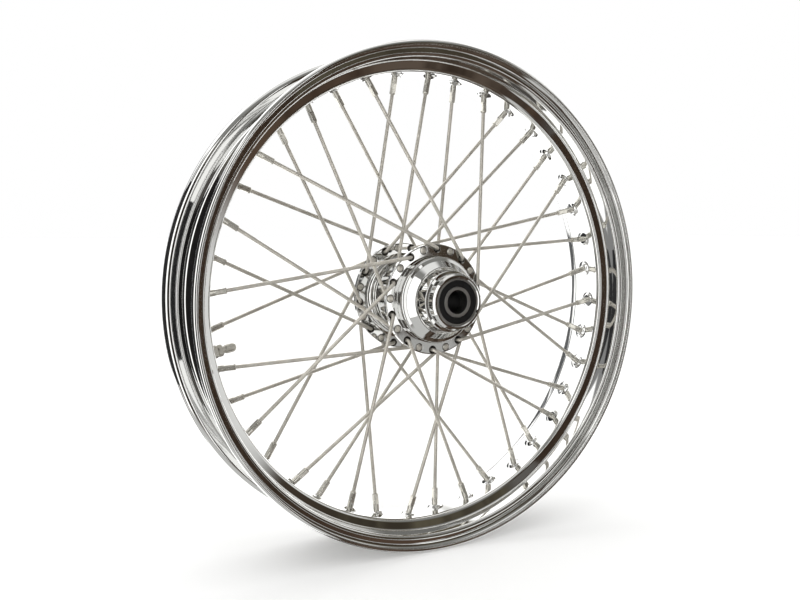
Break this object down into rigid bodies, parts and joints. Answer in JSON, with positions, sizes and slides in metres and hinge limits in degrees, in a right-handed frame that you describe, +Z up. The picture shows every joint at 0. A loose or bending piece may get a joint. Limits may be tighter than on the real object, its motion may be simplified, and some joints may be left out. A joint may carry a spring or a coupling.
{
  "type": "spoked wheel",
  "caption": "Wire-spoked motorcycle front wheel with a chromed drop-centre rim, flanged hub, sealed bearings and a bolt-in tyre valve.",
  "frame": {"origin": "wheel centre: on the axle line, midway between the rim's two edges", "axes": "+Y along the axle from the bearing nose side to the brake side; +Z up; X across the wheel; the wheel turns about Y"},
  "size_m": [0.562, 0.1527, 0.562],
  "materials": {
    "rim_chrome": "mirror bright plating",
    "hub_chrome": "mirror bright plating",
    "spoke_steel": "satin stainless",
    "nipple_steel": "satin stainless",
    "race_steel": "ground",
    "ball_steel": "polished",
    "cage_steel": "stamped",
    "seal_rubber": "moulded, slightly glossy",
    "spacer_steel": "plain machined",
    "valve_nickel": "dull nickel plate",
    "valve_rubber": "matt",
    "valve_brass": "turned brass"
  },
  "bodies": {
    "axle_side": {"bearing_inner_race_near": "race_steel", "bearing_inner_race_far": "race_steel", "bearing_spacer": "spacer_steel"},
    "wheel": {"rim": "rim_chrome", "hub_shell": "hub_chrome", "spokes_near_outer": "spoke_steel", "nipples_near_outer": "nipple_steel", "spokes_near_inner": "spoke_steel", "nipples_near_inner": "nipple_steel", "spokes_far_outer": "spoke_steel", "nipples_far_outer": "nipple_steel", "spokes_far_inner": "spoke_steel", "nipples_far_inner": "nipple_steel", "bearing_outer_race_near": "race_steel", "bearing_outer_seal_near": "seal_rubber", "bearing_inner_seal_near": "seal_rubber", "bearing_outer_race_far": "race_steel", "bearing_outer_seal_far": "seal_rubber", "bearing_inner_seal_far": "seal_rubber", "valve_stem": "valve_nickel", "valve_grommet": "valve_rubber", "valve_washer": "valve_nickel", "valve_nut": "valve_nickel", "valve_jam_nut": "valve_nickel", "valve_core": "valve_brass"},
    "near_ball_set": {"bearing_balls_near": "ball_steel", "bearing_cage_near": "cage_steel"},
    "far_ball_set": {"bearing_balls_far": "ball_steel", "bearing_cage_far": "cage_steel"},
    "valve_cap": {"valve_cap": "valve_nickel"},
    "valve_pin": {"valve_pin": "valve_brass"}
  },
  "joints": [
    {"name": "wheel_spin", "type": "hinge", "parent": "axle_side", "child": "wheel", "pos_m": [0, 0, 0], "axis": [0, 1, 0], "continuous": true},
    {"name": "near_ball_spin", "type": "hinge", "parent": "axle_side", "child": "near_ball_set", "pos_m": [0, 0, 0], "axis": [0, 1, 0], "continuous": true},
    {"name": "far_ball_spin", "type": "hinge", "parent": "axle_side", "child": "far_ball_set", "pos_m": [0, 0, 0], "axis": [0, 1, 0], "continuous": true},
    {"name": "valve_cap_off", "type": "slide", "parent": "wheel", "child": "valve_cap", "axis": [0.9806, 0, 0.1959], "range_m": [0, 0.014]},
    {"name": "valve_pin_press", "type": "slide", "parent": "wheel", "child": "valve_pin", "axis": [-0.9806, 0, -0.1959], "range_m": [0, 0.001], "stiffness_N_per_m": 1500}
  ],
  "couplings": [
    {"joint": "near_ball_spin", "follows": "wheel_spin", "ratio": 0.603},
    {"joint": "far_ball_spin", "follows": "wheel_spin", "ratio": 0.603}
  ]
}
